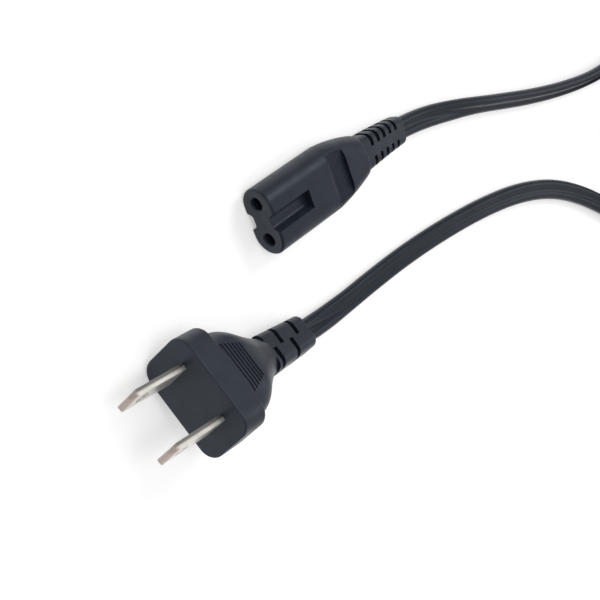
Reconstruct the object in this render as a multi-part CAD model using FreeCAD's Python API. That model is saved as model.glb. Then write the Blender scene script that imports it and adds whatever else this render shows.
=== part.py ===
import FreeCAD, Part
import math
import os

from FreeCAD import Placement, Rotation, Vector

# Figure-eight power lead, in millimetres.
# The connector lies on its broad side along X with its nose towards -X and its tail towards +X.
# Z is up, and the origin is on the table under the middle of the connector.

# Connector body
PIN_SPACING = 8.6
NOSE_WIDTH = 15.9
NOSE_THICKNESS = 8.9
NOSE_EDGE_ROUND = 0.6
BODY_LENGTH = 32.3
SHOULDER_START = 21.0
SHOULDER_WIDTH = 13.6
SHOULDER_AT = 27.2
BODY_REAR_WIDTH = 10.4
BODY_REAR_ROUND = 0.9
PIN_HOLE_RADIUS = 1.5
PIN_HOLE_LIP = 0.3

# Polarising channels on both broad sides of the nose
CHANNEL_LENGTH = 11.6
CHANNEL_MOUTH = 4.4
CHANNEL_FLOOR = 2.5
CHANNEL_DEPTH = 1.95

# Finger scoop on both broad sides, which ends at a step
SCOOP_START = 19.0
STEP_AT = 25.0
SCOOP_DEPTH = 0.75

# Connector strain relief, which bends sideways and down from just inside the body
RELIEF_LENGTH = 16.7
RELIEF_ROOT_LAP = 1.5
RELIEF_BEND_RADIUS = 92.0
RELIEF_BEND_TILT = 47.0
RELIEF_SECTIONS = 5
RELIEF_END_ROUND = 0.4
RELIEF_ROOT_WIDTH = 8.6
RELIEF_END_WIDTH = 6.9
RELIEF_ROOT_THICKNESS = 6.6
RELIEF_END_THICKNESS = 5.1
RELIEF_CORNER = 1.9
RELIEF_SLOTS = 5
RELIEF_SLOT_FIRST = 3.2
RELIEF_SLOT_PITCH = 2.4
RELIEF_SLOT_WIDTH = 1.1
RELIEF_SPINE = 2.5

# Flat two-core cord
CORD_WIDTH = 5.5
CORD_THICKNESS = 2.7
CORE_GAP = 0.1
STRAND_RADIUS = 0.6
RELIEF_WALL_BROAD = 0.55
RELIEF_WALL_NARROW = 0.35

# Socket contacts and their carrier
CONTACT_BORE_RADIUS = 1.2
CONTACT_WALL = 0.4
CONTACT_START = 5.0
CONTACT_LENGTH = 10.0
CONTACT_SLIT = 0.4
CRIMP_WALL = 0.5
CRIMP_LENGTH = 4.4
CRIMP_CLEARANCE = 0.05
BARE_STRAND = 1.2
CARRIER_START = 4.2
CARRIER_LENGTH = 11.4
CARRIER_SLEEVE_WALL = 0.65
CARRIER_WEB_THICKNESS = 2.6
CARRIER_CLEARANCE = 0.05
CORE_BEND_LENGTH = 8.5

# Plug flange
FLANGE_WIDTH = 24.0
FLANGE_HEIGHT = 15.0
FLANGE_THICKNESS = 7.0
FLANGE_CORNER = 3.7
FLANGE_FRONT_ROUND = 0.35
FLANGE_BACK_ROUND = 0.5

# Plug grip: station, width and height from the flange to the neck
GRIP_WIDTH = 20.2
GRIP_HEIGHT = 14.9
GRIP_BELLY_AT = 12.0
GRIP_NECK_AT = 24.0
GRIP_NECK_WIDTH = 8.5
GRIP_NECK_HEIGHT = 8.0
GRIP_ROUNDNESS = 0.82
GRIP_RIBS = 6
GRIP_RIB_FIRST = 8.0
GRIP_RIB_PITCH = 0.9
GRIP_RIB_WIDTH = 0.4
GRIP_RIB_HEIGHT = 0.22
GRIP_RIB_LONGEST = 12.0
GRIP_RIB_SHORTEST = 8.4

# Plug strain relief, with half slots that alternate between the two sides
TAIL_LENGTH = 15.8
TAIL_ROOT_WIDTH = 9.2
TAIL_END_WIDTH = 8.0
TAIL_ROOT_THICKNESS = 8.2
TAIL_END_THICKNESS = 7.2
TAIL_CORNER = 2.0
TAIL_SLOTS = 4
TAIL_SLOT_FIRST = 1.6
TAIL_SLOT_PITCH = 3.2
TAIL_SLOT_WIDTH = 1.3
TAIL_WALL_BROAD = 0.75
TAIL_WALL_NARROW = 0.5

# Blades
BLADE_SPACING = 12.7
BLADE_WIDTH = 6.35
BLADE_THICKNESS = 1.5
BLADE_LENGTH = 16.0
BLADE_HOLE_RADIUS = 1.6
BLADE_HOLE_FROM_FACE = 11.2
BLADE_TIP_BEVEL = 1.6
BLADE_TIP_THICKNESS = 0.7
BLADE_TIP_CORNER = 1.3
BLADE_SEAM_WIDTH = 0.14
BLADE_SEAM_DEPTH = 0.2
BLADE_ROOT = 8.0
BLADE_CRIMP_LAP = 0.6
PLUG_BEND_START = 12.7
PLUG_BEND_LENGTH = 9.4

# Where the plug lies: its face over the table, its heading and how far it has rolled over
TABLE_CLEARANCE = 0.1
PLUG_X = -62.5
PLUG_Y = -18.95
PLUG_HEADING = -13.7
PLUG_ROLL = -36.0

# Put-away coil and its tie
COIL_X = 150.5
COIL_Y = -58.0
COIL_RADIUS = 33.0
COIL_LAYERS_ACROSS = 3
COIL_LAYERS_UP = 2
COIL_TURN_GAP = 0.2
COIL_CORNER = 1.4
TIE_WIDTH = 5.0
TIE_THICKNESS = 0.8
TIE_ANGLE = -55.0

# Route of the cord from the connector to the coil, and from the plug to the coil.
# The first two points of each follow from its exit, and the last ones lie inside the coil.
CORD_HEIGHT = CORD_THICKNESS / 2 + TABLE_CLEARANCE
CONNECTOR_RUN = [
    (40.0, -4.0, CORD_HEIGHT),
    (51.8, -7.5, CORD_HEIGHT),
    (64.0, -11.8, CORD_HEIGHT),
    (77.0, -16.2, CORD_HEIGHT),
    (92.0, -20.6, CORD_HEIGHT),
    (108.0, -24.2, CORD_HEIGHT),
    (124.0, -26.6, CORD_HEIGHT),
    (139.0, -27.4, CORD_HEIGHT),
    (153.0, -26.8, CORD_HEIGHT),
]
PLUG_RUN = [
    (-8.0, -30.6, CORD_HEIGHT),
    (4.0, -30.7, CORD_HEIGHT),
    (18.0, -31.3, CORD_HEIGHT),
    (33.0, -32.6, CORD_HEIGHT),
    (49.0, -34.7, CORD_HEIGHT),
    (64.5, -37.6, CORD_HEIGHT),
    (79.5, -42.0, CORD_HEIGHT),
    (94.0, -48.6, CORD_HEIGHT),
    (108.0, -59.2, CORD_HEIGHT),
    (119.0, -72.4, CORD_HEIGHT),
]
EXIT_RUN = 7.5
ARC_SHARE = 0.45

CONNECTOR_LENGTH = BODY_LENGTH + RELIEF_LENGTH
RELIEF_BEND_FROM = BODY_LENGTH - RELIEF_ROOT_LAP
RELIEF_ARC = RELIEF_LENGTH + RELIEF_ROOT_LAP
PLUG_LENGTH = GRIP_NECK_AT - 1.0 + TAIL_LENGTH
CORE_RADIUS = CORD_THICKNESS / 2
CORE_OFFSET = CORE_RADIUS + CORE_GAP / 2
AXIS = Vector(1, 0, 0)
UP = Vector(0, 0, 1)


# Shared shapes
def rounded_ring(x, width, height, corner):
    """Rounded rectangle across the X axis at station x, as a wire."""
    radius = min(corner, width / 2 - 0.02, height / 2 - 0.02)
    centre_y = width / 2 - radius
    centre_z = height / 2 - radius
    edges = []
    corners = [(1, 1, 0), (-1, 1, 90), (-1, -1, 180), (1, -1, 270)]
    arcs = []
    for side_y, side_z, start in corners:
        points = []
        for turn in (start, start + 45, start + 90):
            angle = math.radians(turn)
            y = side_y * centre_y + radius * math.cos(angle)
            z = side_z * centre_z + radius * math.sin(angle)
            points.append(Vector(x, y, z))
        arcs.append(points)
    for index, points in enumerate(arcs):
        following = arcs[(index + 1) % len(arcs)]
        edges.append(Part.Arc(*points).toShape())
        edges.append(Part.makeLine(points[2], following[0]))
    return Part.Wire(edges)


def rounded_bar(start, length, width, height, corner):
    """Straight bar along X with a rounded rectangle as its section."""
    face = Part.Face(rounded_ring(start, width, height, corner))
    return face.extrude(Vector(length, 0, 0))


def box_between(low, high):
    size = high - low
    return Part.makeBox(size.x, size.y, size.z, low)


def cylinder_along_x(start, length, radius, y=0.0):
    return Part.makeCylinder(radius, length, Vector(start, y, 0), AXIS)


def both_broad_sides(shape):
    return [shape, shape.mirror(Vector(0, 0, 0), UP)]


def core_path(side, start, bend_start, bend_length, spacing, end):
    """Line, two equal arcs and line that bring a core from its contact to the cord, as edges."""
    y_start = side * spacing / 2
    y_end = side * CORE_OFFSET
    drop = spacing / 2 - CORE_OFFSET
    angle = 2 * math.atan(drop / bend_length)
    radius = bend_length / 2 / math.sin(angle)
    half = Vector(radius * math.sin(angle / 2), side * radius * (1 - math.cos(angle / 2)), 0)
    first = Vector(bend_start, y_start, 0)
    middle = Vector(bend_start + bend_length / 2, (y_start + y_end) / 2, 0)
    last = Vector(bend_start + bend_length, y_end, 0)
    in_first = first + Vector(half.x, -half.y, 0)
    in_last = last + Vector(-half.x, half.y, 0)
    return [
        Part.makeLine(Vector(start, y_start, 0), first),
        Part.Arc(first, in_first, middle).toShape(),
        Part.Arc(middle, in_last, last).toShape(),
        Part.makeLine(last, Vector(end, y_end, 0)),
    ]


def round_sweep(path, radius):
    start = path.Vertexes[0].Point
    ring = Part.Wire(Part.makeCircle(radius, start, AXIS))
    return path.makePipeShell([ring], True, False)


def cut_all(shape, tools):
    for tool in tools:
        shape = shape.cut(tool)
    return shape


def fuse_all(shapes):
    whole = shapes[0].fuse(shapes[1:]) if len(shapes) > 1 else shapes[0]
    return whole.removeSplitter()


def only_solid(shape):
    """The largest solid of a boolean result."""
    return max(shape.Solids, key=lambda solid: solid.Volume)


# Connector inside
def contact(side):
    """Rolled socket tube with a slit, a closed waist and a crimp barrel."""
    tube_end = CONTACT_START + CONTACT_LENGTH
    outer = CONTACT_BORE_RADIUS + CONTACT_WALL
    waist = tube_end - CONTACT_WALL
    crimp_end = tube_end + CRIMP_LENGTH
    y = side * PIN_SPACING / 2
    barrel = STRAND_RADIUS + CRIMP_CLEARANCE
    body = fuse_all([
        cylinder_along_x(CONTACT_START, CONTACT_LENGTH, outer, y),
        cylinder_along_x(tube_end - CONTACT_WALL, CRIMP_LENGTH + CONTACT_WALL, barrel + CRIMP_WALL, y),
    ])
    slit = box_between(
        Vector(CONTACT_START, y - CONTACT_SLIT / 2, 0),
        Vector(waist - CONTACT_WALL, y + CONTACT_SLIT / 2, outer + 1),
    )
    return only_solid(cut_all(body, [
        cylinder_along_x(CONTACT_START, waist - CONTACT_START, CONTACT_BORE_RADIUS, y),
        cylinder_along_x(tube_end, crimp_end - tube_end, barrel, y),
        slit,
    ]))


def carrier_outline():
    sleeve = CONTACT_BORE_RADIUS + CONTACT_WALL + CARRIER_CLEARANCE + CARRIER_SLEEVE_WALL
    half = PIN_SPACING / 2
    web = box_between(
        Vector(CARRIER_START, -half, -CARRIER_WEB_THICKNESS / 2),
        Vector(CARRIER_START + CARRIER_LENGTH, half, CARRIER_WEB_THICKNESS / 2),
    )
    return fuse_all([web] + [
        cylinder_along_x(CARRIER_START, CARRIER_LENGTH, sleeve, side * half) for side in (1, -1)
    ])


def contact_carrier():
    """Two sleeves on a web; each sleeve has a lead-in and a seat for its contact."""
    seat = CONTACT_BORE_RADIUS + CONTACT_WALL + CARRIER_CLEARANCE
    lead_in = (PIN_HOLE_RADIUS + CONTACT_BORE_RADIUS) / 2
    end = CARRIER_START + CARRIER_LENGTH
    tools = []
    for side in (1, -1):
        y = side * PIN_SPACING / 2
        tools.append(cylinder_along_x(CONTACT_START, end - CONTACT_START, seat, y))
        tools.append(cylinder_along_x(CARRIER_START, CONTACT_START - CARRIER_START, lead_in, y))
    return only_solid(cut_all(carrier_outline(), tools))


def along_relief(distance):
    """Place on the middle line of the strain relief, this far from where it starts to bend."""
    turn = distance / RELIEF_BEND_RADIUS
    aside = RELIEF_BEND_RADIUS * (1 - math.cos(turn))
    tilt = Rotation(AXIS, RELIEF_BEND_TILT)
    onward = Vector(RELIEF_BEND_FROM + RELIEF_BEND_RADIUS * math.sin(turn), 0, 0)
    bend = tilt.multiply(Rotation(UP, -math.degrees(turn))).multiply(tilt.inverted())
    return Placement(onward + tilt.multVec(Vector(0, -aside, 0)), bend)


def relief_end():
    return along_relief(RELIEF_ARC)


def connector_core_path(side, start):
    crimp_end = CONTACT_START + CONTACT_LENGTH + CRIMP_LENGTH
    edges = core_path(
        side, start, crimp_end + BARE_STRAND + 0.5, CORE_BEND_LENGTH, PIN_SPACING, RELIEF_BEND_FROM
    )
    beside = Vector(0, side * CORE_OFFSET, 0)
    stations = [along_relief(share * RELIEF_ARC).multVec(beside) for share in (0, 0.5, 1)]
    return Part.Wire(edges + [Part.Arc(*stations).toShape()])


def connector_strands(side):
    return round_sweep(connector_core_path(side, CONTACT_START + CONTACT_LENGTH), STRAND_RADIUS)


def connector_core_outline(side):
    crimp_end = CONTACT_START + CONTACT_LENGTH + CRIMP_LENGTH
    return round_sweep(connector_core_path(side, crimp_end + BARE_STRAND), CORE_RADIUS)


# Connector overmoulding
def channel():
    """Polarising groove: sloping flanks, rounded inner corners and a square end wall."""
    top = NOSE_THICKNESS / 2
    floor = top - CHANNEL_DEPTH
    over = CHANNEL_DEPTH * 0.5
    flare = (CHANNEL_MOUTH - CHANNEL_FLOOR) / 2 / CHANNEL_DEPTH * over
    outline = [
        (-CHANNEL_FLOOR / 2, floor),
        (CHANNEL_FLOOR / 2, floor),
        (CHANNEL_MOUTH / 2 + flare, top + over),
        (-CHANNEL_MOUTH / 2 - flare, top + over),
    ]
    points = [Vector(-1, y, z) for y, z in outline]
    face = Part.Face(Part.makePolygon(points + points[:1]))
    groove = face.extrude(Vector(CHANNEL_LENGTH + 1, 0, 0))
    inner_edges = [
        edge for edge in groove.Edges
        if abs(edge.BoundBox.ZMax - floor) < 1e-6 and edge.BoundBox.XLength > CHANNEL_LENGTH
    ]
    return groove.makeFillet(CHANNEL_FLOOR * 0.32, inner_edges)


def scoop():
    """Hollow that deepens towards the step, cut by a cylinder that lies across the body."""
    run = STEP_AT - SCOOP_START
    radius = (run * run + SCOOP_DEPTH * SCOOP_DEPTH) / 2 / SCOOP_DEPTH
    centre = Vector(STEP_AT, -NOSE_WIDTH, NOSE_THICKNESS / 2 - SCOOP_DEPTH + radius)
    drum = Part.makeCylinder(radius, 2 * NOSE_WIDTH, centre, Vector(0, 1, 0))
    window = box_between(
        Vector(SCOOP_START - 1, -NOSE_WIDTH, 0),
        Vector(STEP_AT, NOSE_WIDTH, NOSE_THICKNESS),
    )
    return drum.common(window)


def connector_body():
    round_end = NOSE_THICKNESS / 2
    nose = rounded_bar(0, SHOULDER_START, NOSE_WIDTH, NOSE_THICKNESS, round_end)
    front = [edge for edge in nose.Edges if edge.BoundBox.XMax < 1e-6]
    nose = nose.makeFillet(NOSE_EDGE_ROUND, front)
    rear = Part.makeLoft([
        rounded_ring(SHOULDER_START, NOSE_WIDTH, NOSE_THICKNESS, round_end),
        rounded_ring(SHOULDER_AT, SHOULDER_WIDTH, NOSE_THICKNESS, round_end),
        rounded_ring(BODY_LENGTH, BODY_REAR_WIDTH, NOSE_THICKNESS, round_end),
    ], True, False)
    back = [edge for edge in rear.Edges if edge.BoundBox.XMin > BODY_LENGTH - 1e-3]
    rear = rear.makeFillet(BODY_REAR_ROUND, back)
    return nose, rear


def slot_room(start, width, side_low, side_high, thickness):
    return box_between(
        Vector(start - width / 2, side_low, -thickness), Vector(start + width / 2, side_high, thickness)
    )


def relief_ring(share):
    """Section of the tapered sleeve at a share of its length."""
    width = RELIEF_ROOT_WIDTH + share * (RELIEF_END_WIDTH - RELIEF_ROOT_WIDTH)
    thickness = RELIEF_ROOT_THICKNESS + share * (RELIEF_END_THICKNESS - RELIEF_ROOT_THICKNESS)
    ring = rounded_ring(0, width, thickness, RELIEF_CORNER)
    ring.Placement = along_relief(share * RELIEF_ARC)
    return ring


def relief_heart():
    """What the slots leave standing round the cord."""
    ring = rounded_ring(
        RELIEF_BEND_FROM, CORD_WIDTH + CORE_GAP + 2 * RELIEF_WALL_NARROW,
        CORD_THICKNESS + 2 * RELIEF_WALL_BROAD, CORD_THICKNESS / 2,
    )
    tilt = Rotation(AXIS, RELIEF_BEND_TILT)
    centre = Vector(RELIEF_BEND_FROM, 0, 0) + tilt.multVec(Vector(0, -RELIEF_BEND_RADIUS, 0))
    turn = math.degrees(RELIEF_ARC / RELIEF_BEND_RADIUS)
    return Part.Face(ring).revolve(centre, tilt.multVec(-UP), turn)


def connector_relief():
    """Tapered, bent sleeve with a row of slots down each narrow side and a spine between them."""
    shares = [index / (RELIEF_SECTIONS - 1) for index in range(RELIEF_SECTIONS)]
    sleeve = Part.makeLoft([relief_ring(share) for share in shares], True, False)
    back_to_end = relief_end().inverse()
    end = [edge for edge in sleeve.Edges if abs(back_to_end.multVec(edge.CenterOfMass).x) < 1e-3]
    sleeve = sleeve.makeFillet(RELIEF_END_ROUND, end)
    heart = relief_heart()
    reach = RELIEF_ROOT_WIDTH
    for index in range(RELIEF_SLOTS):
        at = RELIEF_ROOT_LAP + RELIEF_SLOT_FIRST + index * RELIEF_SLOT_PITCH
        for low, high in ((RELIEF_SPINE / 2, reach), (-reach, -RELIEF_SPINE / 2)):
            slot = slot_room(0, RELIEF_SLOT_WIDTH, low, high, RELIEF_ROOT_THICKNESS)
            slot.Placement = along_relief(at).multiply(slot.Placement)
            sleeve = sleeve.cut(slot.cut(heart))
    return sleeve


def connector_shell():
    nose, rear = connector_body()
    body = fuse_all([nose, rear, connector_relief()])
    cuts = both_broad_sides(channel()) + both_broad_sides(scoop())
    crimp_start = CONTACT_START + CONTACT_LENGTH - CONTACT_WALL
    crimp = STRAND_RADIUS + CRIMP_CLEARANCE + CRIMP_WALL
    for side in (1, -1):
        y = side * PIN_SPACING / 2
        lip = Part.makeCone(
            PIN_HOLE_RADIUS + PIN_HOLE_LIP, PIN_HOLE_RADIUS, PIN_HOLE_LIP, Vector(0, y, 0), AXIS
        )
        cuts.append(lip)
        cuts.append(cylinder_along_x(0, CARRIER_START, PIN_HOLE_RADIUS, y))
        cuts.append(cylinder_along_x(crimp_start, CRIMP_LENGTH + CONTACT_WALL, crimp, y))
        cuts.append(connector_core_outline(side))
        cuts.append(connector_strands(side))
    cuts.append(carrier_outline())
    return only_solid(cut_all(body, cuts))


# Plug inside
def blade_crimp_outline(side):
    radius = STRAND_RADIUS + CRIMP_CLEARANCE + CRIMP_WALL
    return cylinder_along_x(
        BLADE_ROOT - BLADE_CRIMP_LAP, CRIMP_LENGTH, radius, side * BLADE_SPACING / 2
    )


def blade(side):
    """Folded strip with a seam along both edges, a hole, a bevelled tip and a crimp barrel."""
    half_width = BLADE_WIDTH / 2
    half_thick = BLADE_THICKNESS / 2
    half_tip = BLADE_TIP_THICKNESS / 2
    tip = -BLADE_LENGTH
    plan = [
        (BLADE_ROOT, -half_thick), (tip + BLADE_TIP_BEVEL, -half_thick), (tip, -half_tip),
        (tip, half_tip), (tip + BLADE_TIP_BEVEL, half_thick), (BLADE_ROOT, half_thick),
    ]
    points = [Vector(x, y, -half_width) for x, y in plan]
    strip = Part.Face(Part.makePolygon(points + points[:1])).extrude(Vector(0, 0, BLADE_WIDTH))
    cut = BLADE_TIP_CORNER
    for top in (1, -1):
        edge = top * half_width
        notch = [Vector(tip, -2, edge), Vector(tip + cut, -2, edge), Vector(tip, -2, edge - top * cut)]
        wedge = Part.Face(Part.makePolygon(notch + notch[:1])).extrude(Vector(0, 4, 0))
        seam = box_between(
            Vector(tip, -BLADE_SEAM_WIDTH / 2, min(edge, edge - top * BLADE_SEAM_DEPTH)),
            Vector(0, BLADE_SEAM_WIDTH / 2, max(edge, edge - top * BLADE_SEAM_DEPTH)),
        )
        strip = strip.cut(wedge).cut(seam)
    hole = Part.makeCylinder(
        BLADE_HOLE_RADIUS, 4, Vector(-BLADE_HOLE_FROM_FACE, -2, 0), Vector(0, 1, 0)
    )
    strip.translate(Vector(0, side * BLADE_SPACING / 2, 0))
    hole.translate(Vector(0, side * BLADE_SPACING / 2, 0))
    barrel = STRAND_RADIUS + CRIMP_CLEARANCE
    y = side * BLADE_SPACING / 2
    bore = cylinder_along_x(BLADE_ROOT, CRIMP_LENGTH, barrel, y)
    return only_solid(fuse_all([strip.cut(hole), blade_crimp_outline(side)]).cut(bore))


def blade_insert():
    """Hard block that fills the room between the blades, flush with the plug's face."""
    half = (BLADE_SPACING - BLADE_THICKNESS) / 2
    block = box_between(
        Vector(0, -half, -BLADE_WIDTH / 2), Vector(BLADE_ROOT, half, BLADE_WIDTH / 2)
    )
    return only_solid(cut_all(block, [blade_crimp_outline(1), blade_crimp_outline(-1)]))


def plug_core_path(side, start):
    return Part.Wire(
        core_path(side, start, PLUG_BEND_START, PLUG_BEND_LENGTH, BLADE_SPACING, PLUG_LENGTH)
    )


def plug_crimp_end():
    return BLADE_ROOT - BLADE_CRIMP_LAP + CRIMP_LENGTH


def plug_strands(side):
    return round_sweep(plug_core_path(side, BLADE_ROOT), STRAND_RADIUS)


def plug_core_outline(side):
    return round_sweep(plug_core_path(side, plug_crimp_end() + BARE_STRAND / 2), CORE_RADIUS)


# Plug overmoulding
def grip_rings(proud):
    """Sections of the grip from the flange to the neck, each one proud of the surface if asked."""
    start = FLANGE_THICKNESS - 1.0
    stations = [
        (start, GRIP_WIDTH, GRIP_HEIGHT - 0.3),
        ((start + GRIP_BELLY_AT) / 2, GRIP_WIDTH + 0.2, GRIP_HEIGHT),
        (GRIP_BELLY_AT, GRIP_WIDTH - 0.3, GRIP_HEIGHT),
    ]
    taper = ((0.30, 0.38, 0.16), (0.55, 0.68, 0.45), (0.78, 0.88, 0.78), (1.0, 1.0, 1.0))
    for share, slim, drop in taper:
        x = GRIP_BELLY_AT + share * (GRIP_NECK_AT - GRIP_BELLY_AT)
        width = GRIP_WIDTH - slim * (GRIP_WIDTH - GRIP_NECK_WIDTH)
        height = GRIP_HEIGHT - drop * (GRIP_HEIGHT - GRIP_NECK_HEIGHT)
        stations.append((x, width, height))
    return [
        rounded_ring(
            x, width + 2 * proud, height + 2 * proud,
            GRIP_ROUNDNESS * min(width, height) / 2 + proud,
        )
        for x, width, height in stations
    ]


def grip():
    """Rounded grip that swells and then draws in to the neck, with fine ribs on both broad sides."""
    body = Part.makeLoft(grip_rings(0), True, False)
    skin = Part.makeLoft(grip_rings(GRIP_RIB_HEIGHT), True, False)
    ribs = []
    for index in range(GRIP_RIBS):
        share = index / (GRIP_RIBS - 1)
        half = (GRIP_RIB_LONGEST + share * (GRIP_RIB_SHORTEST - GRIP_RIB_LONGEST)) / 2
        at = GRIP_RIB_FIRST + index * GRIP_RIB_PITCH
        bar = box_between(
            Vector(at - GRIP_RIB_WIDTH / 2, -half, GRIP_HEIGHT / 4),
            Vector(at + GRIP_RIB_WIDTH / 2, half, GRIP_HEIGHT),
        )
        ribs += both_broad_sides(bar.common(skin))
    return fuse_all([body] + ribs)


def flange():
    plate = rounded_bar(0, FLANGE_THICKNESS, FLANGE_WIDTH, FLANGE_HEIGHT, FLANGE_CORNER)
    front = [edge for edge in plate.Edges if edge.BoundBox.XMax < 1e-6]
    plate = plate.makeFillet(FLANGE_FRONT_ROUND, front)
    back = [edge for edge in plate.Edges if edge.BoundBox.XMin > FLANGE_THICKNESS - 1e-6]
    return plate.makeFillet(FLANGE_BACK_ROUND, back)


def tail():
    """Strain relief with half slots, each one open on one side of the cord."""
    root = GRIP_NECK_AT - 1.0
    sleeve = Part.makeLoft([
        rounded_ring(root, TAIL_ROOT_WIDTH, TAIL_ROOT_THICKNESS, TAIL_CORNER),
        rounded_ring(PLUG_LENGTH, TAIL_END_WIDTH, TAIL_END_THICKNESS, TAIL_CORNER),
    ], True, True)
    end = [edge for edge in sleeve.Edges if edge.BoundBox.XMin > PLUG_LENGTH - 1e-3]
    sleeve = sleeve.makeFillet(0.5, end)
    heart = rounded_bar(
        root, TAIL_LENGTH, CORD_WIDTH + CORE_GAP + 2 * TAIL_WALL_NARROW,
        CORD_THICKNESS + 2 * TAIL_WALL_BROAD, CORD_THICKNESS / 2,
    )
    reach = TAIL_ROOT_WIDTH
    for index in range(TAIL_SLOTS):
        at = root + TAIL_SLOT_FIRST + index * TAIL_SLOT_PITCH
        low, high = (-reach, 0) if index % 2 == 0 else (0, reach)
        slot = slot_room(at, TAIL_SLOT_WIDTH, low, high, TAIL_ROOT_THICKNESS)
        sleeve = sleeve.cut(slot.cut(heart))
    return sleeve


def plug_shell():
    body = fuse_all([flange(), grip(), tail()])
    cuts = [blade_insert()]
    for side in (1, -1):
        y = side * BLADE_SPACING / 2
        cuts.append(box_between(
            Vector(-1, y - BLADE_THICKNESS / 2, -BLADE_WIDTH / 2),
            Vector(BLADE_ROOT, y + BLADE_THICKNESS / 2, BLADE_WIDTH / 2),
        ))
        cuts.append(blade_crimp_outline(side))
        cuts.append(plug_core_outline(side))
        cuts.append(plug_strands(side))
    return only_solid(cut_all(body, cuts))


# Placing of the two ends
def connector_place():
    return Placement(Vector(-CONNECTOR_LENGTH / 2, 0, NOSE_THICKNESS / 2), Rotation())


def low_reach(width, height, corner, roll):
    """How far a rounded rectangle reaches below its centre once it has rolled over."""
    radius = min(corner, width / 2, height / 2)
    across = (width / 2 - radius) * abs(math.sin(roll))
    upright = (height / 2 - radius) * math.cos(roll)
    return across + upright + radius


def plug_place():
    """The plug rests on a rounded corner of its flange and on the end of its strain relief."""
    roll = math.radians(PLUG_ROLL)
    front_at = FLANGE_THICKNESS - FLANGE_BACK_ROUND
    front = low_reach(FLANGE_WIDTH, FLANGE_HEIGHT, FLANGE_CORNER, roll)
    rear = low_reach(TAIL_END_WIDTH, TAIL_END_THICKNESS, TAIL_CORNER, roll)
    pitch = math.atan((front - rear) / (PLUG_LENGTH - front_at))
    height = front_at * math.sin(pitch) + front * math.cos(pitch) + TABLE_CLEARANCE / 2
    turn = Rotation(UP, PLUG_HEADING).multiply(
        Rotation(Vector(0, 1, 0), math.degrees(pitch))
    ).multiply(Rotation(AXIS, PLUG_ROLL))
    return Placement(Vector(PLUG_X, PLUG_Y, height), turn)


# Cord
def tangent_arc_path(points, name):
    """Straight runs joined by tangent arcs; each arc is as large as its two runs allow."""
    edges = []
    radii = []
    here = points[0]
    for before, corner, after in zip(points, points[1:], points[2:]):
        into = (corner - before).normalize()
        out = (after - corner).normalize()
        turn = into.getAngle(out)
        reach = ARC_SHARE * min((corner - before).Length, (after - corner).Length)
        radii.append(reach / math.tan(turn / 2))
        arc_start = corner - into * reach
        arc_end = corner + out * reach
        bisector = (out - into).normalize()
        sagitta = radii[-1] / math.cos(turn / 2) - radii[-1]
        edges.append(Part.makeLine(here, arc_start))
        edges.append(Part.Arc(arc_start, corner + bisector * sagitta, arc_end).toShape())
        here = arc_end
    edges.append(Part.makeLine(here, points[-1]))
    path = Part.Wire(edges)
    print(name, "length", round(path.Length, 1), "radii", [round(radius) for radius in radii])
    return path


def flat_sweep(path):
    """The cord's flat section carried along a path with its broad sides level."""
    first = path.Edges[0]
    start = first.Vertexes[0].Point
    heading = (first.Vertexes[1].Point - start).normalize()
    level = Vector(0, 0, 1).cross(heading).normalize()
    section = rounded_ring(0, CORD_WIDTH, CORD_THICKNESS, CORD_THICKNESS / 2)
    frame = FreeCAD.Matrix(
        heading.x, level.x, heading.cross(level).x, start.x,
        heading.y, level.y, heading.cross(level).y, start.y,
        heading.z, level.z, heading.cross(level).z, start.z,
        0, 0, 0, 1,
    )
    placed = section.transformGeometry(frame)
    tube = path.makePipeShell([placed], True, False)
    face = Part.Face(section)
    print("volume over section times length", round(tube.Volume / face.Area / path.Length, 4))
    return tube


def coil_size():
    across = COIL_LAYERS_ACROSS * (CORD_THICKNESS + COIL_TURN_GAP) + COIL_TURN_GAP
    up = COIL_LAYERS_UP * (CORD_WIDTH + COIL_TURN_GAP)
    return across, up


def ring_part(inset, start, sweep):
    """Stretch of the coil's ring, with its section drawn in by the inset."""
    across, up = coil_size()
    section = rounded_ring(0, across - 2 * inset, up - 2 * inset, COIL_CORNER - inset / 2)
    section.translate(Vector(0, COIL_RADIUS, up / 2))
    part = Part.Face(section).revolve(Vector(0, 0, 0), UP, sweep)
    part.rotate(Vector(0, 0, 0), UP, start)
    part.translate(Vector(COIL_X, COIL_Y, 0))
    return part


def tie_sweep():
    return math.degrees(TIE_WIDTH / COIL_RADIUS)


def cord_coil():
    """Outer shape of the wound turns as one ring, drawn in where the tie passes."""
    waist = ring_part(TIE_THICKNESS, TIE_ANGLE, tie_sweep())
    rest = ring_part(0, TIE_ANGLE + tie_sweep(), 360 - tie_sweep())
    return only_solid(rest.fuse(waist))


def coil_tie():
    """Band round the coil, with its outer skin level with the turns."""
    whole = ring_part(0, TIE_ANGLE, tie_sweep())
    return only_solid(whole.cut(ring_part(TIE_THICKNESS, TIE_ANGLE, tie_sweep())))


def run_points(exit_point, heading, rest):
    return [exit_point, exit_point + heading * EXIT_RUN] + [Vector(*point) for point in rest]


def cord_run(exit_place, rest, name):
    heading = exit_place.Rotation.multVec(AXIS)
    path = tangent_arc_path(run_points(exit_place.Base, heading, rest), name)
    return only_solid(cut_all(flat_sweep(path), [cord_coil(), coil_tie()]))


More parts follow.
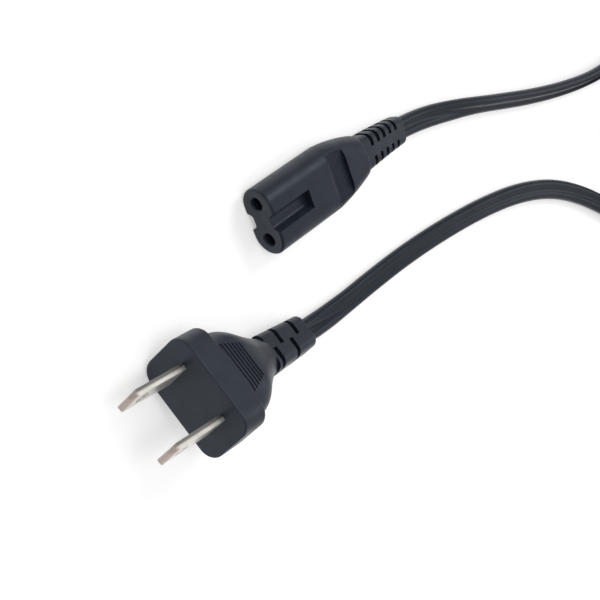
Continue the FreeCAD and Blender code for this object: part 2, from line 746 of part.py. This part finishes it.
def build():
    nodes = {}
    connector = {
        "connector_shell": connector_shell(),
        "contact_carrier": contact_carrier(),
    }
    plug = {
        "plug_shell": plug_shell(),
        "blade_insert": blade_insert(),
    }
    for name, side in (("left", 1), ("right", -1)):
        connector["contact_" + name] = contact(side)
        strands = connector_strands(side)
        connector["connector_strands_" + name] = strands
        connector["connector_core_" + name] = only_solid(connector_core_outline(side).cut(strands))
        plug["blade_" + name] = blade(side)
        strands = plug_strands(side)
        plug["plug_strands_" + name] = strands
        plug["plug_core_" + name] = only_solid(plug_core_outline(side).cut(strands))
    place = connector_place()
    for name, shape in connector.items():
        shape.Placement = place.multiply(shape.Placement)
        nodes[name] = shape
    plug_rest = plug_place()
    for name, shape in plug.items():
        shape.Placement = plug_rest.multiply(shape.Placement)
        nodes[name] = shape
    connector_exit = place.multiply(relief_end())
    plug_exit = plug_rest.multiply(Placement(Vector(PLUG_LENGTH, 0, 0), Rotation()))
    nodes["cord_run_connector"] = cord_run(connector_exit, CONNECTOR_RUN, "connector run")
    nodes["cord_run_plug"] = cord_run(plug_exit, PLUG_RUN, "plug run")
    nodes["cord_coil"] = cord_coil()
    nodes["coil_tie"] = coil_tie()
    return nodes


os.makedirs("parts", exist_ok=True)
for node, solid in build().items():
    solid.exportStep("parts/" + node + ".step")
    box = solid.BoundBox
    print(node, solid.ShapeType, len(solid.Solids), solid.isValid(), round(solid.Volume, 2),
          "z", round(box.ZMin, 3), round(box.ZMax, 2))
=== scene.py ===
import math

import bpy
import bmesh
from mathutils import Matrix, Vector


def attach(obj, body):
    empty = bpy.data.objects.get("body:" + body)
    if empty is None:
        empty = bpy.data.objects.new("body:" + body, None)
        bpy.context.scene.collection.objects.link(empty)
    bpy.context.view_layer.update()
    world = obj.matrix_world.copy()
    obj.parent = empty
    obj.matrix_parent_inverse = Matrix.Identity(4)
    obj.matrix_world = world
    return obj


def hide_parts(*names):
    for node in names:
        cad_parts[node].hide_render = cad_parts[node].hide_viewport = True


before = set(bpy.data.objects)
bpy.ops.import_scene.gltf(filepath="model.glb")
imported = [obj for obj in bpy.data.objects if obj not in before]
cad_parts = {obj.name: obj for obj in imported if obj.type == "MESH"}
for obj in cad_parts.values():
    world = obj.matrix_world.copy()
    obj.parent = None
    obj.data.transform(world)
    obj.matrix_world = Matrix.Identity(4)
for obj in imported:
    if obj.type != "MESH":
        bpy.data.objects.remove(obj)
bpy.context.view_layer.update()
scene = bpy.context.scene

# Connector and plug, in metres, as in the part's source
CONNECTOR_EXIT = Vector((0.02438, -0.001224, 0.003138))
NOSE_THICKNESS = 0.0089
SCOOP_START = -0.0055
SCOOP_STEP = 0.0005
PLUG_FACE = Vector((-0.0625, -0.01895, 0.012836))
BLADE_AXIS = Vector((-0.948382, 0.231191, 0.217078))
ACROSS_BLADES = Vector((0.0675, 0.816, -0.574)).normalized()
BLADE_LENGTH = 0.016
BLADE_SPACING = 0.0127

# Section of the flat cord
CORD_WIDTH = 0.0055
CORD_THICKNESS = 0.0027
GROOVE_HALF = 0.00078
LOBE_ARC = 250.0
LOBE_STEPS = 14

# Roll of the cord about its own line, in degrees, and the lengths over which it comes and goes
EDGE_ROLL = 90.0
EDGE_BEFORE_COIL = 0.034
EDGE_RISE = 0.04
EDGE_AFTER_COIL = 0.026
EDGE_FALL = 0.034
PLUG_EXIT_ROLL = 36.0
PLUG_ROLL_LENGTH = 0.022
FREE_ROLL = 50.0
FREE_START = 0.008
FREE_RISE = 0.03
FREE_END = 0.13
FREE_FALL = 0.05

# Put-away coil, with its angles in degrees
COIL_CENTRE = Vector((0.1505, -0.058, 0.0))
COIL_RADIUS = 0.033
TURN_GAP = 0.0002
POINTS_PER_TURN = 16
COIL_FIRST_ANGLE = 97.0
COIL_SWEPT = 2028.0
FIRST_CHANGE = 158.0
CHANGE_EVERY = 380.0
LAST_CHANGE = 320.0
CHANGE_SWEEP = 40.0

# Route of the cord from each end to the coil
CORD_LIFT = 0.0001
CORD_LEVEL = CORD_THICKNESS / 2 + CORD_LIFT
CURVE_STEPS = 10
CONNECTOR_ROUTE = [
    tuple(CONNECTOR_EXIT),
    (0.0312, -0.0022, 0.00235),
    (0.0405, -0.0043, 0.0022),
    (0.0523, -0.0077, 0.0027),
    (0.064, -0.0117, 0.0028),
    (0.077, -0.0162, 0.0028),
    (0.092, -0.0206, 0.0025),
    (0.108, -0.024, 0.0025),
    (0.126, -0.0249, 0.0026),
]
PLUG_ROUTE = [
    (-0.025703, -0.02792, 0.004413),
    (-0.01859, -0.029654, 0.002785),
    (-0.008, -0.0306, 0.0018),
    (0.004, -0.0307, CORD_LEVEL),
    (0.018, -0.0311, CORD_LEVEL),
    (0.033, -0.0325, CORD_LEVEL),
    (0.049, -0.0349, CORD_LEVEL),
    (0.0645, -0.0386, CORD_LEVEL),
    (0.079, -0.0446, CORD_LEVEL),
    (0.092, -0.0535, CORD_LEVEL),
    (0.1035, -0.0645, 0.0022),
]

# Camera, with its lens and sensor in millimetres and its turn in degrees
LENS = 72.0
SENSOR_WIDTH = 36.0
CAMERA_PLACE = (-0.174101, 0.090113, 0.195437)
CAMERA_TURN = (-7.3022, -44.0969, -25.7042)

# Colours
COLD_TINGE = (0.8, 0.89, 1.0)
PVC_DARK = (0.009, 0.012, 0.02)
PVC_LIGHT = (0.013, 0.017, 0.027)
CORD_DARK = (0.008, 0.011, 0.018)
CORD_LIGHT = (0.012, 0.016, 0.025)
NICKEL_DARK = (0.7, 0.68, 0.63)
NICKEL_LIGHT = (0.82, 0.8, 0.75)
# Painted dark reflection, put on the outer half of each blade's narrow edge
PAINTED_EDGE_REFLECTION = (0.2, 0.19, 0.175)
WORN_TIP = (0.42, 0.35, 0.31)
FLOOR_WHITE = (0.8, 0.8, 0.8)

# Finish
PVC_SPECULAR = 0.42
PVC_ROUGHNESS = (0.36, 0.46)
CORD_SPECULAR = 0.26
CORD_ROUGHNESS = (0.3, 0.38)
NICKEL_ROUGHNESS = (0.34, 0.44)
CONNECTOR_SPECULAR = 0.35
SCOOP_SPECULAR = 0.12
RIB_PITCH = 0.0009
RIB_HEIGHT = 0.000015
SCOOP_SKIN = 0.0002
SCOOP_EDGE = 0.00004
SCOOP_BOTTOM = 0.0009
SCOOP_BOTTOM_FADE = 0.0001
SCOOP_FADE_IN = 0.001
STEP_FADE = 0.0001
TIP_WEAR = 0.0018

# Floor and surroundings, with their levels of light
FLOOR_SIZE = 6.0
FLOOR_BELOW = 0.00005
FLOOR_GLOW = 0.4
ROOM_LEVEL = 0.52
SIDE_LEVEL = 0.42
SIDE_START = 0.25
SIDE_FULL = 0.9


# Camera
def make_camera():
    data = bpy.data.cameras.new("camera")
    data.sensor_width = SENSOR_WIDTH
    data.lens = LENS
    data.clip_start = 0.01
    data.clip_end = 10.0
    camera = bpy.data.objects.new("camera", data)
    camera.location = CAMERA_PLACE
    camera.rotation_euler = [math.radians(angle) for angle in CAMERA_TURN]
    scene.collection.objects.link(camera)
    scene.camera = camera


# Node helpers
def new_material(name, color, roughness, metallic=0.0, specular=0.5, tinge=(1.0, 1.0, 1.0)):
    material = bpy.data.materials.new(name)
    material.use_nodes = True
    tree = material.node_tree
    shader = tree.nodes["Principled BSDF"]
    shader.inputs["Base Color"].default_value = (*color, 1.0)
    shader.inputs["Roughness"].default_value = roughness
    shader.inputs["Metallic"].default_value = metallic
    shader.inputs["Specular IOR Level"].default_value = specular
    shader.inputs["Specular Tint"].default_value = (*tinge, 1.0)
    return material, tree, shader


def noise(tree, scale, detail=2.0, stretch=None):
    """Noise in object space; its scale is in lumps per metre."""
    place = tree.nodes.new("ShaderNodeTexCoord").outputs["Object"]
    if stretch:
        mapping = tree.nodes.new("ShaderNodeMapping")
        mapping.inputs["Scale"].default_value = stretch
        tree.links.new(place, mapping.inputs["Vector"])
        place = mapping.outputs["Vector"]
    texture = tree.nodes.new("ShaderNodeTexNoise")
    texture.inputs["Scale"].default_value = scale
    texture.inputs["Detail"].default_value = detail
    tree.links.new(place, texture.inputs["Vector"])
    return texture.outputs["Fac"]


def map_range(tree, value, start, end, low=0.0, high=1.0):
    """Goes from low to high as the value goes from start to end."""
    node = tree.nodes.new("ShaderNodeMapRange")
    node.inputs["From Min"].default_value = start
    node.inputs["From Max"].default_value = end
    node.inputs["To Min"].default_value = low
    node.inputs["To Max"].default_value = high
    tree.links.new(value, node.inputs["Value"])
    return node.outputs["Result"]


def spread(tree, value, low, high):
    """Stretches the middle of a noise over a range."""
    return map_range(tree, value, 0.3, 0.7, low, high)


def tint(tree, value, first, second):
    """Turns the middle of a noise into a mix of two colours."""
    node = tree.nodes.new("ShaderNodeValToRGB")
    for stop, position, color in zip(node.color_ramp.elements, (0.35, 0.65), (first, second)):
        stop.position = position
        stop.color = (*color, 1.0)
    tree.links.new(value, node.inputs["Fac"])
    return node.outputs["Color"]


def bump(tree, height, distance, strength, normal=None):
    node = tree.nodes.new("ShaderNodeBump")
    node.inputs["Distance"].default_value = distance
    node.inputs["Strength"].default_value = strength
    tree.links.new(height, node.inputs["Height"])
    if normal is not None:
        tree.links.new(normal, node.inputs["Normal"])
    return node.outputs["Normal"]


def math_node(tree, operation, first, second=0.0):
    node = tree.nodes.new("ShaderNodeMath")
    node.operation = operation
    for socket, value in zip(node.inputs, (first, second)):
        if isinstance(value, float):
            socket.default_value = value
        else:
            tree.links.new(value, socket)
    return node.outputs["Value"]


def blend(tree, share, first, second):
    """First colour, turning into the second, a constant, as the share grows."""
    node = tree.nodes.new("ShaderNodeMix")
    node.data_type = "RGBA"
    tree.links.new(share, node.inputs[0])
    tree.links.new(first, node.inputs[6])
    node.inputs[7].default_value = (*second, 1.0)
    return node.outputs[2]


def along_axis(tree, vector, axis):
    node = tree.nodes.new("ShaderNodeVectorMath")
    node.operation = "DOT_PRODUCT"
    node.inputs[1].default_value = axis
    tree.links.new(vector, node.inputs[0])
    return node.outputs["Value"]


def from_plug_face(tree, axis):
    """Distance of a point from the middle of the plug's face along an axis, in metres."""
    coords = tree.nodes.new("ShaderNodeTexCoord")
    place = along_axis(tree, coords.outputs["Object"], axis)
    return math_node(tree, "SUBTRACT", place, PLUG_FACE.dot(axis))


# Materials
def moulded_pvc(name):
    """Satin PVC: fine moulded grain, faint cloudiness and slightly uneven gloss."""
    material, tree, shader = new_material(
        name, PVC_DARK, PVC_ROUGHNESS[0], specular=PVC_SPECULAR, tinge=COLD_TINGE
    )
    color = tint(tree, noise(tree, 260.0, detail=3.0), PVC_DARK, PVC_LIGHT)
    roughness = spread(tree, noise(tree, 420.0, detail=3.0), *PVC_ROUGHNESS)
    waves = bump(tree, noise(tree, 180.0, detail=1.0), distance=0.0001, strength=0.3)
    grain = bump(tree, noise(tree, 6500.0), distance=0.00002, strength=0.35, normal=waves)
    tree.links.new(color, shader.inputs["Base Color"])
    tree.links.new(roughness, shader.inputs["Roughness"])
    tree.links.new(grain, shader.inputs["Normal"])
    return material


def ribbed_scoops(material):
    """Fine cross ribs and a duller finish in the finger scoops of the connector."""
    tree = material.node_tree
    shader = tree.nodes["Principled BSDF"]
    coords = tree.nodes.new("ShaderNodeTexCoord")
    along = along_axis(tree, coords.outputs["Object"], (1, 0, 0))
    height = along_axis(tree, coords.outputs["Object"], (0, 0, 1))
    middle = NOSE_THICKNESS / 2
    off_middle = math_node(tree, "ABSOLUTE", math_node(tree, "SUBTRACT", height, middle))
    limits = (
        map_range(tree, off_middle, middle - SCOOP_EDGE, middle - SCOOP_SKIN),
        map_range(tree, off_middle, middle - SCOOP_BOTTOM, middle - SCOOP_BOTTOM + SCOOP_BOTTOM_FADE),
        map_range(tree, along, SCOOP_START, SCOOP_START + SCOOP_FADE_IN),
        map_range(tree, along, SCOOP_STEP + STEP_FADE, SCOOP_STEP - STEP_FADE),
    )
    inside = limits[0]
    for limit in limits[1:]:
        inside = math_node(tree, "MULTIPLY", inside, limit)
    wave = math_node(tree, "SINE", math_node(tree, "MULTIPLY", along, 2 * math.pi / RIB_PITCH))
    ribs = math_node(tree, "MULTIPLY", wave, inside)
    grain = shader.inputs["Normal"].links[0].from_socket
    ribbed = bump(tree, ribs, distance=RIB_HEIGHT, strength=1.0, normal=grain)
    specular = map_range(tree, inside, 0.0, 1.0, CONNECTOR_SPECULAR, SCOOP_SPECULAR)
    tree.links.new(ribbed, shader.inputs["Normal"])
    tree.links.new(specular, shader.inputs["Specular IOR Level"])
    return material


def extruded_pvc():
    """Cord insulation, a little glossier and smoother than the mouldings."""
    material, tree, shader = new_material(
        "cord_pvc", CORD_DARK, CORD_ROUGHNESS[0], specular=CORD_SPECULAR, tinge=COLD_TINGE
    )
    color = tint(tree, noise(tree, 150.0), CORD_DARK, CORD_LIGHT)
    roughness = spread(tree, noise(tree, 300.0, detail=3.0), *CORD_ROUGHNESS)
    waves = bump(tree, noise(tree, 120.0, detail=1.0), distance=0.0002, strength=0.15)
    grain = bump(tree, noise(tree, 3000.0), distance=0.00001, strength=0.1, normal=waves)
    tree.links.new(color, shader.inputs["Base Color"])
    tree.links.new(roughness, shader.inputs["Roughness"])
    tree.links.new(grain, shader.inputs["Normal"])
    return material


def nickel_plate():
    """Nickel-plated folded strip: rolling marks, a painted dark reflection on the outer half of each
    blade's narrow edge, worn tips.
    """
    material, tree, shader = new_material("nickel", NICKEL_LIGHT, NICKEL_ROUGHNESS[0], metallic=0.8)
    plain = tint(tree, noise(tree, 240.0, detail=3.0), NICKEL_DARK, NICKEL_LIGHT)
    side = from_plug_face(tree, ACROSS_BLADES)
    # Offset outwards from each blade's middle plane, which marks where the painted dark reflection goes
    off_middle = math_node(tree, "SUBTRACT", math_node(tree, "ABSOLUTE", side), BLADE_SPACING / 2)
    outward_offset = math_node(tree, "MULTIPLY", off_middle, math_node(tree, "SIGN", side))
    geometry = tree.nodes.new("ShaderNodeNewGeometry")
    across = along_axis(tree, geometry.outputs["True Normal"], ACROSS_BLADES)
    on_edge = map_range(tree, math_node(tree, "ABSOLUTE", across), 0.6, 0.4)
    # Painted dark reflection: the outer half of each blade's narrow edge gets a darker base colour
    painted_reflection = math_node(tree, "MULTIPLY", map_range(tree, outward_offset, -0.0001, 0.0002), on_edge)
    with_painted_reflection = blend(tree, painted_reflection, plain, PAINTED_EDGE_REFLECTION)
    from_face = from_plug_face(tree, BLADE_AXIS)
    worn = map_range(tree, from_face, BLADE_LENGTH - TIP_WEAR, BLADE_LENGTH - TIP_WEAR / 2)
    roughness = spread(tree, noise(tree, 350.0, detail=4.0), *NICKEL_ROUGHNESS)
    marks = noise(tree, 500.0, detail=3.0, stretch=(0.35, 3.0, 3.0))
    tree.links.new(blend(tree, worn, with_painted_reflection, WORN_TIP), shader.inputs["Base Color"])
    tree.links.new(roughness, shader.inputs["Roughness"])
    tree.links.new(bump(tree, marks, distance=0.00001, strength=0.15), shader.inputs["Normal"])
    return material


def metal(name, first, second, roughness):
    material, tree, shader = new_material(name, first, roughness, metallic=1.0)
    color = tint(tree, noise(tree, 400.0, detail=3.0), first, second)
    dullness = spread(tree, noise(tree, 900.0, detail=3.0), roughness, roughness + 0.15)
    tree.links.new(color, shader.inputs["Base Color"])
    tree.links.new(dullness, shader.inputs["Roughness"])
    return material


def hard_plastic(name, first, second, roughness):
    material, tree, shader = new_material(name, first, roughness)
    color = tint(tree, noise(tree, 300.0), first, second)
    grain = bump(tree, noise(tree, 4000.0), distance=0.00001, strength=0.3)
    tree.links.new(color, shader.inputs["Base Color"])
    tree.links.new(grain, shader.inputs["Normal"])
    return material


def dress(node, material):
    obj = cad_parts[node]
    obj.data.materials.clear()
    obj.data.materials.append(material)


# Cord
def wound_turns():
    """Control points of the wound turns: three side by side below, three above, and down again."""
    out = CORD_THICKNESS + TURN_GAP
    low = CORD_WIDTH / 2 + CORD_LIFT
    high = low + CORD_WIDTH + TURN_GAP
    cells = [(out, low), (0.0, low), (-out, low), (-out, high), (0.0, high), (out, high), (out, low)]
    changes = [FIRST_CHANGE + CHANGE_EVERY * turn for turn in range(len(cells) - 2)]
    changes.append(changes[-1] + LAST_CHANGE)
    points = []
    count = round(COIL_SWEPT / 360 * POINTS_PER_TURN)
    for index in range(count + 1):
        swept = COIL_SWEPT * index / count
        outward, z = cells[0]
        for start, before, after in zip(changes, cells, cells[1:]):
            share = max(0.0, min(1.0, (swept - start) / CHANGE_SWEEP))
            outward += (after[0] - before[0]) * share
            z += (after[1] - before[1]) * share
        angle = math.radians(COIL_FIRST_ANGLE - swept)
        radius = (COIL_RADIUS + outward) / math.cos(math.pi / POINTS_PER_TURN)
        x = COIL_CENTRE.x + radius * math.cos(angle)
        y = COIL_CENTRE.y + radius * math.sin(angle)
        points.append((x, y, z))
    return points


def spline_path(points):
    """Points along the smooth line that has the route's points as its control points."""
    curve = bpy.data.curves.new("cord_line", "CURVE")
    curve.dimensions = "3D"
    curve.resolution_u = CURVE_STEPS
    spline = curve.splines.new("NURBS")
    spline.points.add(len(points) - 1)
    for point, place in zip(spline.points, points):
        point.co = (*place, 1.0)
    spline.order_u = 3
    spline.use_endpoint_u = True
    line = bpy.data.objects.new("cord_line", curve)
    scene.collection.objects.link(line)
    bpy.context.view_layer.update()
    mesh = bpy.data.meshes.new_from_object(line)
    path = [vertex.co.copy() for vertex in mesh.vertices]
    bpy.data.objects.remove(line)
    bpy.data.curves.remove(curve)
    bpy.data.meshes.remove(mesh)
    return path


def two_core_section():
    """Section of the flat cord: two round lobes with a groove between them."""
    lobe = CORD_THICKNESS / 2
    centre = CORD_WIDTH / 2 - lobe
    outline = []
    for side, facing in ((1, 0.0), (-1, math.pi)):
        for step in range(LOBE_STEPS + 1):
            angle = math.radians(-LOBE_ARC / 2 + step * LOBE_ARC / LOBE_STEPS) + facing
            outline.append((side * centre + lobe * math.cos(angle), lobe * math.sin(angle)))
        outline.append((0.0, side * GROOVE_HALF))
    return outline


def smooth(value):
    value = max(0.0, min(1.0, value))
    return value * value * (3 - 2 * value)


def length_at(path, lengths, place):
    """Length along the path at its point nearest to a place."""
    nearest = min(range(len(path)), key=lambda index: (path[index] - Vector(place)).length)
    return lengths[nearest]


def cord_roll(here, coil_start, coil_end, cord_end):
    """Roll at a length along the cord: on edge in the coil, tilted on the run from the connector."""
    on_edge = smooth((here - coil_start + EDGE_BEFORE_COIL) / EDGE_RISE)
    on_edge *= smooth((coil_end + EDGE_AFTER_COIL - here) / EDGE_FALL)
    near_plug = smooth(1 - (cord_end - here) / PLUG_ROLL_LENGTH)
    free = smooth((here - FREE_START) / FREE_RISE) * smooth((FREE_END - here) / FREE_FALL)
    return math.radians(EDGE_ROLL * on_edge + PLUG_EXIT_ROLL * near_plug + FREE_ROLL * free)


def make_cord(material):
    """Sweeps the section along the whole route, and returns the cord, its middle line and its length."""
    turns = wound_turns()
    path = spline_path(CONNECTOR_ROUTE + turns + PLUG_ROUTE[::-1])
    lengths = [0.0]
    for before, after in zip(path, path[1:]):
        lengths.append(lengths[-1] + (after - before).length)
    coil_start = length_at(path, lengths, turns[0])
    coil_end = length_at(path, lengths, turns[-1])
    outline = two_core_section()
    mesh = bmesh.new()
    rings = []
    for index, place in enumerate(path):
        ahead = path[min(index + 1, len(path) - 1)] - path[max(index - 1, 0)]
        ahead.normalize()
        side = Vector((0, 0, 1)).cross(ahead).normalized()
        up = ahead.cross(side)
        roll = cord_roll(lengths[index], coil_start, coil_end, lengths[-1])
        across = side * math.cos(roll) + up * math.sin(roll)
        over = up * math.cos(roll) - side * math.sin(roll)
        rings.append([mesh.verts.new(place + across * y + over * z) for y, z in outline])
    for ring, following in zip(rings, rings[1:]):
        for index in range(len(ring)):
            after = (index + 1) % len(ring)
            mesh.faces.new((ring[index], ring[after], following[after], following[index]))
    mesh.faces.new(rings[0][::-1])
    mesh.faces.new(rings[-1])
    bmesh.ops.recalc_face_normals(mesh, faces=mesh.faces)
    data = bpy.data.meshes.new("flat_cord")
    mesh.to_mesh(data)
    mesh.free()
    for polygon in data.polygons:
        polygon.use_smooth = len(polygon.vertices) == 4
    data.materials.append(material)
    cord = bpy.data.objects.new("flat_cord", data)
    scene.collection.objects.link(cord)
    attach(cord, "root")
    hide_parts("cord_run_connector", "cord_coil", "cord_run_plug")
    return cord, path, lengths[-1]


# Floor, surroundings and light
def make_floor():
    """White floor that glows for the camera and in reflections, and still takes the shadow."""
    bpy.ops.mesh.primitive_plane_add(size=FLOOR_SIZE, location=(0, 0, -FLOOR_BELOW))
    floor = bpy.context.object
    floor.name = "floor"
    material, tree, shader = new_material("floor_white", FLOOR_WHITE, 0.9, specular=0.0)
    rays = tree.nodes.new("ShaderNodeLightPath")
    seen = math_node(tree, "MAXIMUM", rays.outputs["Is Camera Ray"], rays.outputs["Is Glossy Ray"])
    glow = tree.nodes.new("ShaderNodeEmission")
    glow.inputs["Color"].default_value = (1, 1, 1, 1)
    both = tree.nodes.new("ShaderNodeAddShader")
    tree.links.new(math_node(tree, "MULTIPLY", seen, FLOOR_GLOW), glow.inputs["Strength"])
    tree.links.new(shader.outputs["BSDF"], both.inputs[0])
    tree.links.new(glow.outputs["Emission"], both.inputs[1])
    tree.links.new(both.outputs["Shader"], tree.nodes["Material Output"].inputs["Surface"])
    floor.data.materials.append(material)


def make_world():
    """White for the camera, and greyer for all other rays, most of all towards the near side."""
    world = bpy.data.worlds.new("studio")
    scene.world = world
    world.use_nodes = True
    tree = world.node_tree
    background = tree.nodes["Background"]
    background.inputs["Color"].default_value = (1, 1, 1, 1)
    rays = tree.nodes.new("ShaderNodeLightPath")
    coords = tree.nodes.new("ShaderNodeTexCoord")
    sideways = along_axis(tree, coords.outputs["Generated"], (0, -1, 0))
    level = tree.nodes.new("ShaderNodeMix")
    level.data_type = "FLOAT"
    level.inputs[3].default_value = 1.0
    tree.links.new(rays.outputs["Is Camera Ray"], level.inputs[0])
    tree.links.new(
        map_range(tree, sideways, SIDE_START, SIDE_FULL, ROOM_LEVEL, SIDE_LEVEL), level.inputs[2]
    )
    tree.links.new(level.outputs[0], background.inputs["Strength"])


def soft_box(name, place, size, power):
    """Rectangular lamp that faces the origin."""
    data = bpy.data.lights.new(name, "AREA")
    data.shape = "RECTANGLE"
    data.size = size[0]
    data.size_y = size[1]
    data.energy = power
    light = bpy.data.objects.new(name, data)
    light.location = place
    light.rotation_euler = (-Vector(place)).to_track_quat("-Z", "Y").to_euler()
    scene.collection.objects.link(light)


scene.view_settings.view_transform = "Standard"
make_camera()
cord_pvc = extruded_pvc()
cord, cord_path, cord_length = make_cord(cord_pvc)

# Material of each CAD node, by the first mark that its name holds
looks = (
    ("strands", metal("copper", (0.75, 0.36, 0.2), (0.85, 0.45, 0.28), 0.3)),
    ("core", cord_pvc),
    ("cord", cord_pvc),
    ("insert", moulded_pvc("insert_black")),
    ("blade", nickel_plate()),
    ("carrier", hard_plastic("carrier_black", (0.02, 0.02, 0.022), (0.03, 0.03, 0.032), 0.5)),
    ("contact", metal("contact_brass", (0.7, 0.56, 0.3), (0.78, 0.64, 0.36), 0.25)),
    ("tie", hard_plastic("tie_black", (0.025, 0.025, 0.025), (0.035, 0.035, 0.035), 0.45)),
    ("connector", ribbed_scoops(moulded_pvc("connector_pvc"))),
    ("plug", moulded_pvc("moulded_pvc")),
)
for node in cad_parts:
    dress(node, next(material for mark, material in looks if mark in node))

make_floor()
make_world()
soft_box("key", place=(0.25, -0.55, 0.4), size=(0.9, 0.6), power=0.55)
soft_box("back", place=(0.28, 0.28, 0.42), size=(0.22, 0.22), power=0.9)
soft_box("top", place=(-0.2, 0.14, 0.5), size=(0.16, 0.16), power=0.6)
soft_box("right", place=(0.47, -0.09, 0.32), size=(0.24, 0.24), power=0.28)
